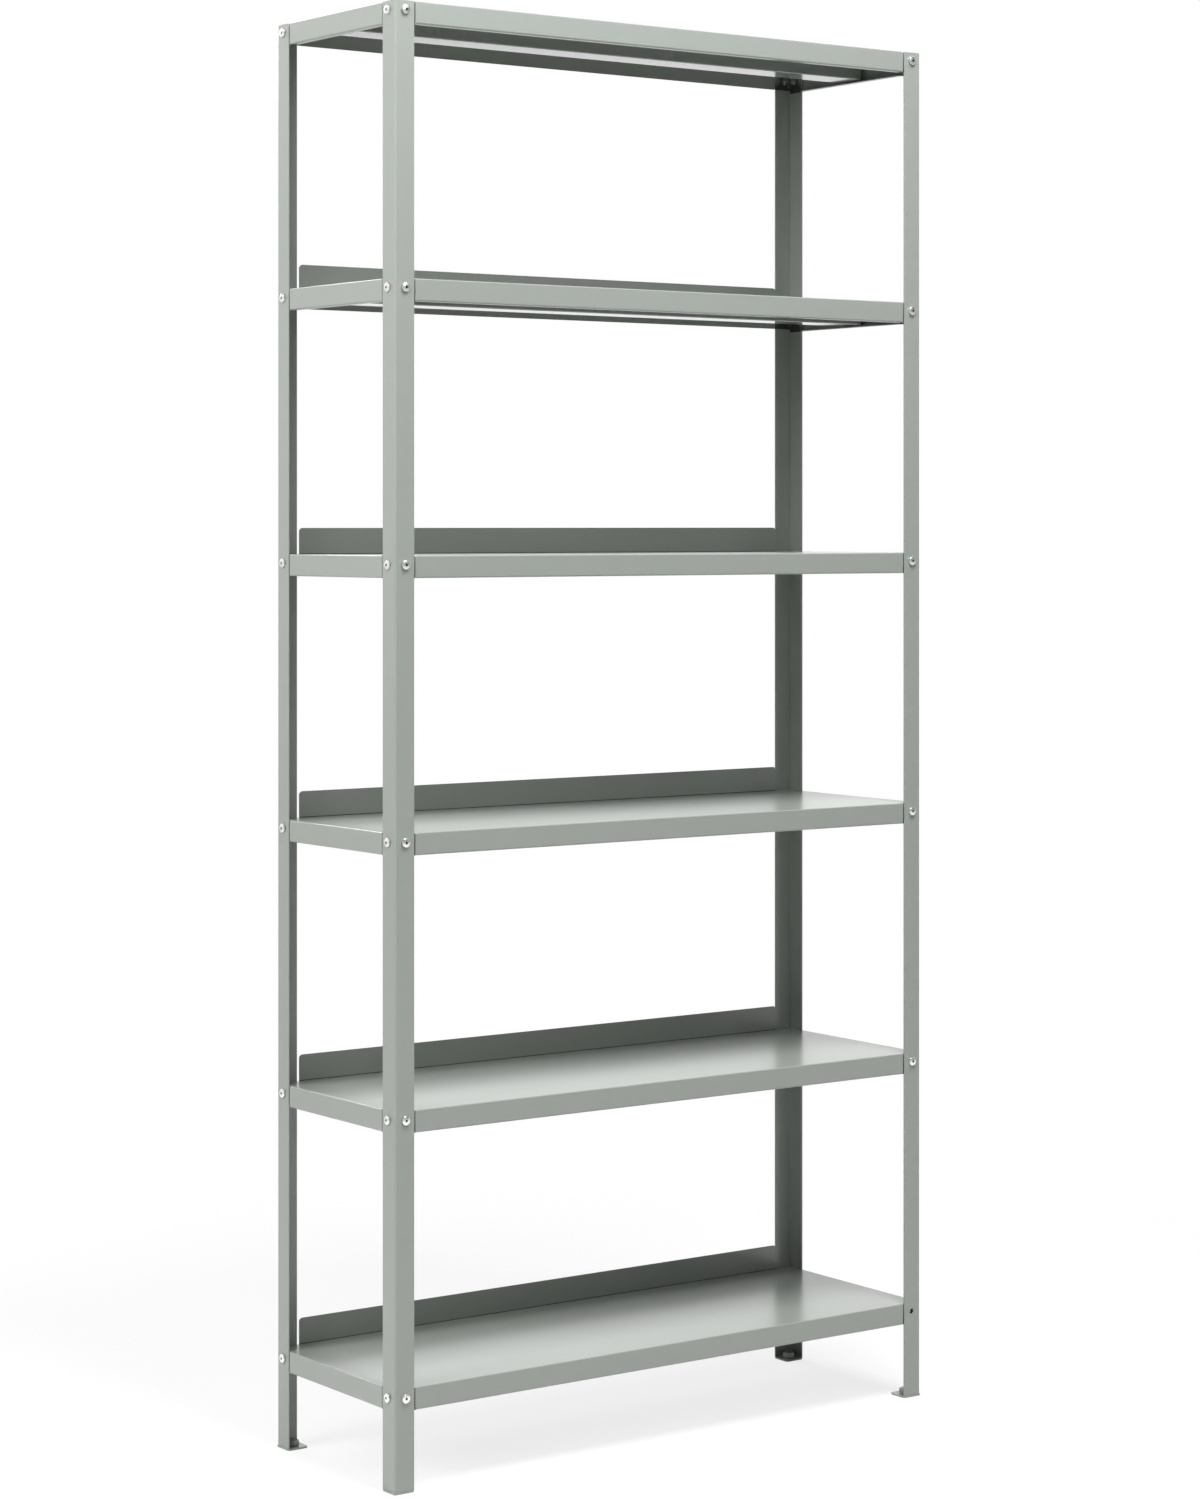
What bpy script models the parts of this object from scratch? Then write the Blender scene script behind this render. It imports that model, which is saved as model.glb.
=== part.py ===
"""Steel shelving with six pressed shelves bolted between four angle posts.

The frame stands on the floor with its origin at the middle of its footprint. +X runs
to the right, +Y to the rear and +Z up. Each post is an angle with a foot plate and a nut
welded to its lower end. Each shelf is a tray folded from one sheet, with a hat-section
stiffener welded below its deck, and all but the top one have an upstand at the rear.
A screw and nut hold each apron end to each post leg, as one tightened piece.
"""

import math

import bmesh
import bpy
from mathutils import Matrix, Vector

# Overall sizes, in metres.
WIDTH = 0.900
DEPTH = 0.300
SHELF_COUNT = 6
SHELF_PITCH = 0.362
LOWEST_SCREW_HEIGHT = 0.124

# Posts: equal angles, and the plate and nut welded to the foot of each.
POST_LEG = 0.030
POST_WALL = 0.002
POST_BEND = 0.003
FOOT_PLATE = 0.0025
FOOT_OVERHANG = 0.001
FOOT_CORNER = 0.005
FOOT_NUT_ACROSS = 0.017
FOOT_NUT_HEIGHT = 0.008
FOOT_NUT_FROM_CORNER = 0.0145

# Shelves: trays folded from sheet.
SHEET = 0.001
APRON = 0.0295
REAR_APRON = 0.025
APRON_BEND = 0.0015
LIP = 0.010
LIP_END_GAP = 0.004
UPSTAND = 0.036
UPSTAND_CORNER = 0.005
UPSTAND_END_GAP = 0.0025
UPSTAND_FROM_REAR = 0.0025
STIFFENER_WIDTH = 0.050
STIFFENER_DEPTH = 0.026
STIFFENER_FLANGE = 0.012
STIFFENER_END_GAP = 0.005

# Screws with hexagon nuts, both legs of a post alike.
SCREW_FROM_CORNER = 0.016
SCREW_BELOW_DECK = 0.012
SCREW_SHANK = 0.006
SCREW_HOLE = 0.007
SCREW_HEAD = 0.012
SCREW_HEAD_HEIGHT = 0.0034
SCREW_HEAD_RIM = 0.0012
SCREW_HEAD_CROWN = 0.008
SCREW_END = 0.002
NUT_ACROSS = 0.010
NUT_HEIGHT = 0.005

# Clearances: between touching faces, and between a post leg's edge and the shelf panel.
SEAT_GAP = 0.0003
LEG_EDGE_GAP = 0.0008

# Number of flat sides of the round shapes, and how far a cutter runs past what it cuts.
HOLE_SIDES = 8
HEAD_SIDES = 12
NUT_SIDES = 6
BEND_STEPS = 2
CUT_PAST = 0.002
WELD_DEPTH = 0.0005

# Finish of the coated sheet and of the zinc-plated fasteners.
COATING_COLOUR = (0.50, 0.54, 0.51, 1.0)
COATING_ROUGHNESS = 0.35
ZINC_COLOUR = (0.80, 0.80, 0.79, 1.0)
ZINC_ROUGHNESS = 0.30

# The posts in the order of their quarter turns, with the faces of each one's two legs:
# the leg that is made along +X, then the leg that is made along +Y.
LEG_FACES = {
    "front_left": ("front", "side"),
    "front_right": ("side", "front"),
    "rear_right": ("rear", "side"),
    "rear_left": ("side", "rear"),
}
EMPTY_HOLE = (6, "front_right", "front")


def screw_height(level):
    """Height of the screws of a shelf above the floor; level 0 is the lowest shelf."""
    return LOWEST_SCREW_HEIGHT + level * SHELF_PITCH


def deck_height(level):
    """Height of the top of a shelf's deck above the floor."""
    return screw_height(level) + SCREW_BELOW_DECK


def clear_scene():
    """Remove the objects that the scene starts with."""
    for obj in list(bpy.data.objects):
        bpy.data.objects.remove(obj, do_unlink=True)


def make_material(name, colour, roughness, metallic):
    """Make a Principled material."""
    material = bpy.data.materials.new(name)
    material.use_nodes = True
    shader = material.node_tree.nodes["Principled BSDF"]
    shader.inputs["Base Color"].default_value = colour
    shader.inputs["Roughness"].default_value = roughness
    shader.inputs["Metallic"].default_value = metallic
    return material


def arc(centre, radius, start, end, steps):
    """Points of an arc in plan, from the start angle to the end angle in degrees."""
    angles = [math.radians(start + (end - start) * i / steps) for i in range(steps + 1)]
    return [(centre[0] + radius * math.cos(a), centre[1] + radius * math.sin(a)) for a in angles]


def regular_polygon(radius, sides, turn=0.0):
    """Points of a regular polygon round the origin, its first corner at the turn angle."""
    return arc((0.0, 0.0), radius, turn, turn + 360.0 * (sides - 1) / sides, sides - 1)


def rounded_rectangle(low, high, radii, steps):
    """Outline between two opposite corners. The radii belong to the lower left, lower
    right, upper right and upper left corners, and a radius of 0 leaves a corner sharp."""
    corners = ((low[0], low[1]), (high[0], low[1]), (high[0], high[1]), (low[0], high[1]))
    inward = ((1, 1), (-1, 1), (-1, -1), (1, -1))
    points = []
    for index, (corner, side, radius) in enumerate(zip(corners, inward, radii)):
        if radius == 0.0:
            points.append(corner)
            continue
        centre = (corner[0] + side[0] * radius, corner[1] + side[1] * radius)
        start = 180.0 + 90.0 * index
        points += arc(centre, radius, start, start + 90.0, steps)
    return points


def add_prism(bm, outline, low, high, matrix=Matrix.Identity(4)):
    """Extrude an outline from its XY plane between two heights, then move it."""
    base = [bm.verts.new((x, y, low)) for x, y in outline]
    face = bm.faces.new(base)
    extruded = bmesh.ops.extrude_face_region(bm, geom=[face])["geom"]
    top = [item for item in extruded if isinstance(item, bmesh.types.BMVert)]
    bmesh.ops.translate(bm, verts=top, vec=(0.0, 0.0, high - low))
    bmesh.ops.transform(bm, matrix=matrix, verts=base + top)
    return base, top


def make_object(name, bm, material=None):
    """Turn a bmesh of closed shells into an object of the scene, its faces outward."""
    bmesh.ops.recalc_face_normals(bm, faces=bm.faces)
    mesh = bpy.data.meshes.new(name)
    bm.to_mesh(mesh)
    bm.free()
    if material:
        mesh.materials.append(material)
    obj = bpy.data.objects.new(name, mesh)
    bpy.context.scene.collection.objects.link(obj)
    return obj


def prism_object(name, outline, low, high, matrix=Matrix.Identity(4)):
    """Make an object of one prism."""
    bm = bmesh.new()
    add_prism(bm, outline, low, high, matrix)
    return make_object(name, bm)


def combined_mesh(blank, operations, material):
    """Apply Boolean operations to a blank and return the mesh. The helpers are removed."""
    for operation, helper in operations:
        helper.hide_render = True
        helper.display_type = "WIRE"
        modifier = blank.modifiers.new(helper.name, "BOOLEAN")
        modifier.operation = operation
        modifier.solver = "EXACT"
        modifier.object = helper
    graph = bpy.context.evaluated_depsgraph_get()
    mesh = bpy.data.meshes.new_from_object(blank.evaluated_get(graph))
    mesh.materials.clear()
    mesh.materials.append(material)
    for obj in [blank] + [helper for _, helper in operations]:
        bpy.data.objects.remove(obj, do_unlink=True)
    return mesh


def place(name, mesh, location=(0.0, 0.0, 0.0), turn=0.0):
    """Put a mesh into the scene under a name, turned about the vertical."""
    obj = bpy.data.objects.new(name, mesh)
    obj.location = location
    obj.rotation_euler = (0.0, 0.0, turn)
    bpy.context.scene.collection.objects.link(obj)
    return obj


def along_y(x, z):
    """Matrix that lays a prism's axis along +Y through a point of the XZ plane."""
    return Matrix.Translation((x, 0.0, z)) @ Matrix.Rotation(math.radians(-90.0), 4, "X")


def along_x(y, z):
    """Matrix that lays a prism's axis along +X through a point of the YZ plane."""
    return Matrix.Translation((0.0, y, z)) @ Matrix.Rotation(math.radians(90.0), 4, "Y")


def hole_outline():
    """Outline of a screw hole, with a flat side up."""
    return regular_polygon(SCREW_HOLE / 2, HOLE_SIDES, 180.0 / HOLE_SIDES)


# Posts. Each is made with its outer corner at the origin and its legs along +X and +Y.


def post_outline():
    """Section of an equal angle with a bent corner."""
    inner_bend = max(POST_BEND - POST_WALL, POST_WALL / 4)
    heart = POST_WALL + inner_bend
    outer = arc((POST_BEND, POST_BEND), POST_BEND, 180.0, 270.0, BEND_STEPS)
    inner = arc((heart, heart), inner_bend, 270.0, 180.0, BEND_STEPS)
    front_end = [(POST_LEG, 0.0), (POST_LEG, POST_WALL)]
    side_end = [(POST_WALL, POST_LEG), (0.0, POST_LEG)]
    return outer + front_end + inner + side_end


def post_mesh(material):
    """Angle post with its holes, and the plate and nut welded to its foot."""
    top = deck_height(SHELF_COUNT - 1)
    blank = prism_object("post_blank", post_outline(), FOOT_PLATE - WELD_DEPTH, top)

    plate_high = POST_LEG + FOOT_OVERHANG
    plate_outline = rounded_rectangle(
        (-FOOT_OVERHANG, -FOOT_OVERHANG),
        (plate_high, plate_high),
        (POST_BEND, FOOT_CORNER, FOOT_CORNER, FOOT_CORNER),
        BEND_STEPS,
    )
    plate = prism_object("foot_plate", plate_outline, 0.0, FOOT_PLATE)

    nut_radius = FOOT_NUT_ACROSS / 2 / math.cos(math.pi / NUT_SIDES)
    nut = prism_object(
        "foot_nut",
        regular_polygon(nut_radius, NUT_SIDES, 15.0),
        FOOT_PLATE - WELD_DEPTH,
        FOOT_PLATE + FOOT_NUT_HEIGHT,
        Matrix.Translation((FOOT_NUT_FROM_CORNER, FOOT_NUT_FROM_CORNER, 0.0)),
    )

    bm = bmesh.new()
    for level in range(SHELF_COUNT):
        for lay in (along_y, along_x):
            matrix = lay(SCREW_FROM_CORNER, screw_height(level))
            add_prism(bm, hole_outline(), -CUT_PAST, POST_WALL + CUT_PAST / 2, matrix)
    holes = make_object("post_holes", bm)
    operations = [("UNION", plate), ("UNION", nut), ("DIFFERENCE", holes)]
    return combined_mesh(blank, operations, material)


def build_posts(material):
    """Place the four posts, each turned a quarter from the one before it."""
    mesh = post_mesh(material)
    for name, (location, turn) in corner_places().items():
        place(f"post_{name}", mesh, location, turn)


def corner_places():
    """Outer corner of each post on the floor, and the turn that its legs need."""
    signs = ((-1, -1), (1, -1), (1, 1), (-1, 1))
    return {
        name: (Vector((sx * WIDTH / 2, sy * DEPTH / 2, 0.0)), math.radians(90.0 * index))
        for index, (name, (sx, sy)) in enumerate(zip(LEG_FACES, signs))
    }


# Shelves. Each is made round the vertical axis with the top of its deck at height 0.


def tray_outline(inset):
    """Plan of a shelf, drawn in by the inset. The panels lie in line with the posts'
    outer faces and step in behind the legs."""
    face_x = WIDTH / 2 - inset
    face_y = DEPTH / 2 - inset
    behind = POST_WALL + SEAT_GAP
    beside = POST_LEG + LEG_EDGE_GAP
    quarter = [
        (face_x, face_y - beside),
        (face_x - behind, face_y - beside),
        (face_x - behind, face_y - behind),
        (face_x - beside, face_y - behind),
        (face_x - beside, face_y),
    ]
    points = []
    for sx, sy in ((1, 1), (-1, 1), (-1, -1), (1, -1)):
        corner = [(sx * x, sy * y) for x, y in quarter]
        points += corner if sx * sy > 0 else corner[::-1]
    return points


def tray_blank():
    """Deck and four aprons, folded down from one sheet."""
    bm = bmesh.new()
    base, top = add_prism(bm, tray_outline(0.0), -APRON, 0.0)
    bm.faces.ensure_lookup_table()
    bottom = next(face for face in bm.faces if all(vert in base for vert in face.verts))
    rear = DEPTH / 2 - APRON_BEND
    folds = [
        edge
        for edge in bm.edges
        if all(vert in top for vert in edge.verts)
        and not all(vert.co.y > rear for vert in edge.verts)
    ]
    bmesh.ops.recalc_face_normals(bm, faces=bm.faces)
    bmesh.ops.inset_region(bm, faces=[bottom], thickness=SHEET, use_even_offset=True)
    walls = bmesh.ops.extrude_face_region(bm, geom=[bottom])["geom"]
    inner = [item for item in walls if isinstance(item, bmesh.types.BMVert)]
    bmesh.ops.translate(bm, verts=inner, vec=(0.0, 0.0, APRON - SHEET))
    bmesh.ops.delete(bm, geom=[bottom], context="FACES")
    bmesh.ops.bevel(
        bm,
        geom=folds,
        offset=min(APRON_BEND, (POST_WALL + SEAT_GAP) / 2),
        affect="EDGES",
        segments=BEND_STEPS,
        profile=0.5,
        material=-1,
    )
    return make_object("tray_blank", bm)


def lips():
    """Lips turned in from the bottoms of the front and side aprons."""
    half_front = WIDTH / 2 - POST_LEG - LEG_EDGE_GAP - LIP_END_GAP
    half_side = DEPTH / 2 - POST_LEG - LEG_EDGE_GAP - LIP_END_GAP
    bm = bmesh.new()
    strips = [((-half_front, -DEPTH / 2 + WELD_DEPTH), (half_front, -DEPTH / 2 + LIP))]
    for side in (-1, 1):
        edges = sorted((side * (WIDTH / 2 - LIP), side * (WIDTH / 2 - WELD_DEPTH)))
        strips.append(((edges[0], -half_side), (edges[1], half_side)))
    for low, high in strips:
        outline = rounded_rectangle(low, high, (0.0,) * 4, BEND_STEPS)
        add_prism(bm, outline, -APRON, SHEET - APRON)
    return make_object("lips", bm)


def stiffener():
    """Hat section along the middle of the deck, open at both ends."""
    half = STIFFENER_WIDTH / 2
    under_deck = -SHEET
    seat = under_deck + WELD_DEPTH
    right = [
        (half, -STIFFENER_DEPTH),
        (half, under_deck - SHEET),
        (half + STIFFENER_FLANGE, under_deck - SHEET),
        (half + STIFFENER_FLANGE, seat),
        (half - SHEET, seat),
        (half - SHEET, SHEET - STIFFENER_DEPTH),
    ]
    section = right + [(-y, z) for y, z in reversed(right)]
    length = WIDTH / 2 - SHEET - STIFFENER_END_GAP
    matrix = Matrix(((0, 0, 1, 0), (1, 0, 0, 0), (0, 1, 0, 0), (0, 0, 0, 1)))
    return prism_object("stiffener", section, -length, length, matrix)


def upstand():
    """Plate that stands on the deck near its rear fold, between the rear posts."""
    half = WIDTH / 2 - POST_LEG - UPSTAND_END_GAP
    outline = rounded_rectangle(
        (-half, -WELD_DEPTH), (half, UPSTAND), (0.0, 0.0, UPSTAND_CORNER, UPSTAND_CORNER), BEND_STEPS
    )
    stand = Matrix.Rotation(math.radians(90.0), 4, "X")
    matrix = Matrix.Translation((0.0, DEPTH / 2 - UPSTAND_FROM_REAR, 0.0)) @ stand
    return prism_object("upstand", outline, 0.0, SHEET, matrix)


def apron_cutters():
    """Screw holes in the apron ends, and the strip that makes the rear apron shallower."""
    bm = bmesh.new()
    behind = POST_WALL + SEAT_GAP
    for location, turn in corner_places().values():
        corner = Matrix.Translation(location) @ Matrix.Rotation(turn, 4, "Z")
        for lay in (along_y, along_x):
            matrix = corner @ lay(SCREW_FROM_CORNER, -SCREW_BELOW_DECK)
            add_prism(bm, hole_outline(), behind - CUT_PAST / 2, behind + SHEET + CUT_PAST, matrix)
    trim = rounded_rectangle(
        (-WIDTH / 2, DEPTH / 2 - behind - 2 * SHEET), (WIDTH / 2, DEPTH / 2 + CUT_PAST), (0.0,) * 4, 1
    )
    add_prism(bm, trim, -APRON - CUT_PAST, -REAR_APRON)
    return make_object("apron_cutters", bm)


def shelf_mesh(material, with_upstand):
    """Tray with its lips, stiffener and screw holes, and the upstand where it has one."""
    operations = [("UNION", lips()), ("UNION", stiffener())]
    if with_upstand:
        operations.append(("UNION", upstand()))
    operations.append(("DIFFERENCE", apron_cutters()))
    return combined_mesh(tray_blank(), operations, material)


def build_shelves(material):
    """Place the shelves. Shelf 1 is the top one, which has no upstand."""
    plain = shelf_mesh(material, False)
    with_upstand = shelf_mesh(material, True)
    for number in range(1, SHELF_COUNT + 1):
        mesh = plain if number == 1 else with_upstand
        place(f"shelf_{number}", mesh, (0.0, 0.0, deck_height(SHELF_COUNT - number)))


# Bolts: each a screw with its nut, made along +Z with the post's outer face at height 0.


def turned_object(name, sides, turn, profile):
    """Make a closed shape of flat sides round the vertical axis. The profile gives its
    radius and height at each ring, from the bottom up."""
    bm = bmesh.new()
    rings = [
        [bm.verts.new((x, y, height)) for x, y in regular_polygon(radius, sides, turn)]
        for radius, height in profile
    ]
    bm.faces.new(rings[0])
    bm.faces.new(rings[-1])
    for lower, upper in zip(rings, rings[1:]):
        for i in range(sides):
            bm.faces.new((lower[i - 1], lower[i], upper[i], upper[i - 1]))
    return make_object(name, bm)


def bolt_mesh(material):
    """Round-headed screw with its hexagon nut, tightened over the leg and the apron."""
    grip = POST_WALL + SEAT_GAP + SHEET + SEAT_GAP
    nut_end = -grip - NUT_HEIGHT
    nut_radius = NUT_ACROSS / 2 / math.cos(math.pi / NUT_SIDES)
    head_profile = (
        (SCREW_HEAD / 2, SEAT_GAP),
        (SCREW_HEAD / 2, SEAT_GAP + SCREW_HEAD_RIM),
        (SCREW_HEAD_CROWN / 2, SEAT_GAP + SCREW_HEAD_HEIGHT),
    )
    shank_profile = (
        (SCREW_SHANK / 2, nut_end - SCREW_END),
        (SCREW_SHANK / 2, SEAT_GAP + SCREW_HEAD_RIM),
    )
    nut_profile = ((nut_radius, nut_end), (nut_radius, -grip))
    shank = turned_object("shank", HOLE_SIDES, 180.0 / HOLE_SIDES, shank_profile)
    head = turned_object("head", HEAD_SIDES, 0.0, head_profile)
    nut = turned_object("nut", NUT_SIDES, 0.0, nut_profile)
    return combined_mesh(shank, [("UNION", head), ("UNION", nut)], material)


def build_bolts(material):
    """Place a screw and nut at each leg of each post, shelf by shelf."""
    mesh = bolt_mesh(material)
    out_of_legs = (
        Matrix.Translation((SCREW_FROM_CORNER, 0.0, 0.0)) @ Matrix.Rotation(math.radians(90.0), 4, "X"),
        Matrix.Translation((0.0, SCREW_FROM_CORNER, 0.0)) @ Matrix.Rotation(math.radians(-90.0), 4, "Y"),
    )
    for number in range(1, SHELF_COUNT + 1):
        height = Vector((0.0, 0.0, screw_height(SHELF_COUNT - number)))
        for corner, (location, turn) in corner_places().items():
            post = Matrix.Translation(location + height) @ Matrix.Rotation(turn, 4, "Z")
            for face, out_of_leg in zip(LEG_FACES[corner], out_of_legs):
                if (number, corner, face) != EMPTY_HOLE:
                    bolt = place(f"bolt_{number}_{corner}_{face}", mesh)
                    bolt.matrix_world = post @ out_of_leg


def main():
    """Build the whole frame."""
    clear_scene()
    coating = make_material("coated_steel", COATING_COLOUR, COATING_ROUGHNESS, 0.0)
    zinc = make_material("zinc_plated_steel", ZINC_COLOUR, ZINC_ROUGHNESS, 1.0)
    build_posts(coating)
    build_shelves(coating)
    build_bolts(zinc)


main()
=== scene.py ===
"""Looks of the steel shelving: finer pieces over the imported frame, its finishes and its studio.

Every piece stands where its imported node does. The posts, shelves and fasteners are made
here again with rounded bends, cut edges, threads and driver sockets, and are dressed in
grey-green coated steel and bright zinc.
"""

from __future__ import annotations

import logging
import math
from collections.abc import Callable, Iterable, Sequence
from dataclasses import dataclass
from enum import Enum
from typing import Any

import bmesh
import bpy
from mathutils import Matrix, Vector

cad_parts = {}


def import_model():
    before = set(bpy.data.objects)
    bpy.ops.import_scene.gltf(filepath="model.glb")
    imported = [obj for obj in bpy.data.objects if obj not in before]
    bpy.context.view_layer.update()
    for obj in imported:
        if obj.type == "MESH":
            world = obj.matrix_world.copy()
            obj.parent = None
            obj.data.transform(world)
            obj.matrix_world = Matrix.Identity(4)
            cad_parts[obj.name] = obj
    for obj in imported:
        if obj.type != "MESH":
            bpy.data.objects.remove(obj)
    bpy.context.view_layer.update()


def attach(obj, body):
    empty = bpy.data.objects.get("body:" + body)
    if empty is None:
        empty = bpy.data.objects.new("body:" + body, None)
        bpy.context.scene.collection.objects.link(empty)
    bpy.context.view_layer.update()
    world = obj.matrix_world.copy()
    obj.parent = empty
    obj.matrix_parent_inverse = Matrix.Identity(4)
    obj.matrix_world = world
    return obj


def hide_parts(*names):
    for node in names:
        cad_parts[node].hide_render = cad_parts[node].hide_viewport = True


LOG = logging.getLogger("shelving")
BODY = "root"
TINY = 1e-5
CLEARANCE = 0.002  # How far a tool reaches past the steel that it cuts.
# Name of the mesh attribute that marks painted shade in slits, seams and sockets.
PAINTED_SHADE = "painted_shade"

Rgba = tuple[float, float, float, float]


class MaterialSlot(Enum):
    """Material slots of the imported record."""

    COATING = "coating"
    ZINC = "zinc"


class Cut(Enum):
    """What a Boolean does to the steel that it meets."""

    TAKE_AWAY = "DIFFERENCE"
    KEEP_COMMON = "INTERSECT"


class Corner(Enum):
    """The four posts: name, side along X, side along Y, and the faces of the two legs."""

    FRONT_LEFT = ("front_left", -1, -1, ("front", "side"))
    FRONT_RIGHT = ("front_right", 1, -1, ("side", "front"))
    REAR_RIGHT = ("rear_right", 1, 1, ("rear", "side"))
    REAR_LEFT = ("rear_left", -1, 1, ("side", "rear"))

    @property
    def title(self) -> str:
        """Name of the corner."""
        return self.value[0]

    @property
    def leg_faces(self) -> tuple[str, str]:
        """Faces of the leg made along +X and of the leg made along +Y."""
        return self.value[3]

    def place(self, sizes: FrameSizes) -> Matrix:
        """Give the place of a post's outer corner on the floor.

        Args:
            sizes: the frame's own sizes.

        Returns:
            The matrix that turns a post's legs into this corner and moves it there.
        """
        _, side_x, side_y, _ = self.value
        quarter = list(Corner).index(self)
        spot = Matrix.Translation((side_x * sizes.width / 2, side_y * sizes.depth / 2, 0.0))
        return spot @ Matrix.Rotation(math.radians(90.0 * quarter), 4, "Z")


@dataclass(frozen=True)
class FrameSizes:
    """Sizes that the sub-assemblies share, in metres.

    They are those of the part's own source, but for wider holes and a wider gap beside a leg.
    """

    width: float = 0.900
    depth: float = 0.300
    shelf_count: int = 6
    pitch: float = 0.362
    lowest_screw: float = 0.124
    screw_below_deck: float = 0.012
    screw_from_corner: float = 0.016
    hole_radius: float = 0.0039
    hole_facets: int = 24
    leg: float = 0.030
    wall: float = 0.002
    sheet: float = 0.001
    seat_gap: float = 0.0003
    leg_edge_gap: float = 0.0018

    @property
    def behind(self) -> float:
        """How far an apron's ends step in to pass behind a leg."""
        return self.wall + self.seat_gap

    @property
    def beside(self) -> float:
        """Distance from a corner to the end of an apron's panel."""
        return self.leg + self.leg_edge_gap

    @property
    def grip(self) -> float:
        """Steel between a screw's head and its nut, measured from the leg's outer face."""
        return self.wall + self.sheet + 2 * self.seat_gap

    def screw_height(self, number: int) -> float:
        """Height of a shelf's screws; shelf 1 is the top one."""
        return self.lowest_screw + (self.shelf_count - number) * self.pitch

    def deck_height(self, number: int) -> float:
        """Height of the top of a shelf's deck; shelf 1 is the top one."""
        return self.screw_height(number) + self.screw_below_deck

    def legs(self) -> tuple[Matrix, Matrix]:
        """Give the places of the two screws of one post at height 0.

        Returns:
            For the leg along +X and the leg along +Y, the matrix that stands a fastener
            on the leg's outer face with its axis pointing out of it.
        """
        turn_x = Matrix.Rotation(math.radians(90.0), 4, "X")
        turn_y = Matrix.Rotation(math.radians(-90.0), 4, "Y")
        return (
            Matrix.Translation((self.screw_from_corner, 0.0, 0.0)) @ turn_x,
            Matrix.Translation((0.0, self.screw_from_corner, 0.0)) @ turn_y,
        )


# Shader nodes.


class Number:
    """One number of a material's nodes. Arithmetic on it adds Math nodes."""

    def __init__(self, sheet: NodeSheet, socket: bpy.types.NodeSocket) -> None:
        """Wrap an output socket of a node sheet."""
        self.sheet = sheet
        self.socket = socket

    def maths(self, operation: str, *values: Number | float) -> Number:
        """Add a Math node.

        Args:
            operation: the Math node's operation.
            values: its inputs in order.

        Returns:
            The node's result.
        """
        inputs = dict(enumerate(values))
        made = self.sheet.node("ShaderNodeMath", {"operation": operation}, inputs)
        return Number(self.sheet, made.outputs[0])

    def __add__(self, other: Number | float) -> Number:
        """Add."""
        return self.maths("ADD", self, other)

    __radd__ = __add__

    def __sub__(self, other: Number | float) -> Number:
        """Subtract."""
        return self.maths("SUBTRACT", self, other)

    def __rsub__(self, other: float) -> Number:
        """Subtract from a plain number."""
        return self.maths("SUBTRACT", other, self)

    def __mul__(self, other: Number | float) -> Number:
        """Multiply."""
        return self.maths("MULTIPLY", self, other)

    __rmul__ = __mul__

    def step(self, low: float, high: float) -> Number:
        """Rise smoothly from 0 at one value to 1 at another.

        Args:
            low: the value at which the result is 0.
            high: the value at which the result is 1.

        Returns:
            The eased result.
        """
        settings = {"interpolation_type": "SMOOTHSTEP"}
        values = {"Value": self, "From Min": low, "From Max": high}
        made = self.sheet.node("ShaderNodeMapRange", settings, values)
        return Number(self.sheet, made.outputs["Result"])


class NodeSheet:
    """The node tree of a material or of the world."""

    def __init__(self, owner: bpy.types.Material | bpy.types.World) -> None:
        """Empty the owner's node tree and hold it."""
        owner.use_nodes = True
        self.tree = owner.node_tree
        self.tree.nodes.clear()

    def node(
        self,
        kind: str,
        settings: dict[str, Any] | None = None,
        values: dict[str | int, Any] | None = None,
    ) -> bpy.types.Node:
        """Add one node.

        Args:
            kind: the node's Blender type.
            settings: its properties, set first.
            values: what its input sockets are set to or linked from, by name or index.

        Returns:
            The new node.
        """
        made = self.tree.nodes.new(kind)
        for name, setting in (settings or {}).items():
            setattr(made, name, setting)
        for key, value in (values or {}).items():
            socket = made.inputs[key]
            if isinstance(value, Number):
                value = value.socket
            if isinstance(value, bpy.types.NodeSocket):
                self.tree.links.new(value, socket)
            else:
                socket.default_value = value
        return made

    def number(self, node: bpy.types.Node, output: str | int = 0) -> Number:
        """Wrap one output of a node."""
        return Number(self, node.outputs[output])

    def place(self) -> bpy.types.NodeSocket:
        """Object coordinates, which are metres in the frame here."""
        return self.node("ShaderNodeTexCoord").outputs["Object"]

    def noise(self, scale: float, detail: float, roughness: float = 0.5) -> Number:
        """Add noise.

        Args:
            scale: waves per metre.
            detail: number of finer octaves.
            roughness: strength of each finer octave.

        Returns:
            The noise, about 0.5 on average.
        """
        values = {"Vector": self.place(), "Scale": scale, "Detail": detail, "Roughness": roughness}
        return self.number(self.node("ShaderNodeTexNoise", None, values))

    def painted_shade(self) -> Number:
        """How much painted shade a point of the mesh carries, from 0 to 1."""
        return self.number(self.node("ShaderNodeAttribute", {"attribute_name": PAINTED_SHADE}), "Fac")

    def blend(self, share: Number | float, first: Any, second: Any) -> bpy.types.NodeSocket:
        """Mix two colours.

        Args:
            share: how much of the second colour shows.
            first: a colour or a colour socket.
            second: a colour or a colour socket.

        Returns:
            The mixed colour.
        """
        made = self.node("ShaderNodeMix", {"data_type": "RGBA"}, {0: share, 6: first, 7: second})
        return made.outputs[2]

    def bump(self, height: Number, distance: float) -> bpy.types.NodeSocket:
        """Raise a finish where a number is high.

        Args:
            height: the number.
            distance: how high in metres a number of 1 stands.

        Returns:
            The bumped normal.
        """
        values = {"Strength": 1.0, "Distance": distance, "Height": height}
        return self.node("ShaderNodeBump", None, values).outputs["Normal"]

    def dress(self, values: dict[str | int, Any]) -> None:
        """End a material with a principled shader that has these values."""
        shader = self.node("ShaderNodeBsdfPrincipled", None, values)
        self.node("ShaderNodeOutputMaterial", None, {"Surface": shader.outputs[0]})


def shade(colour: Sequence[float], factor: float) -> Rgba:
    """Lighten or darken a colour by a factor."""
    return (colour[0] * factor, colour[1] * factor, colour[2] * factor, 1.0)


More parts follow.
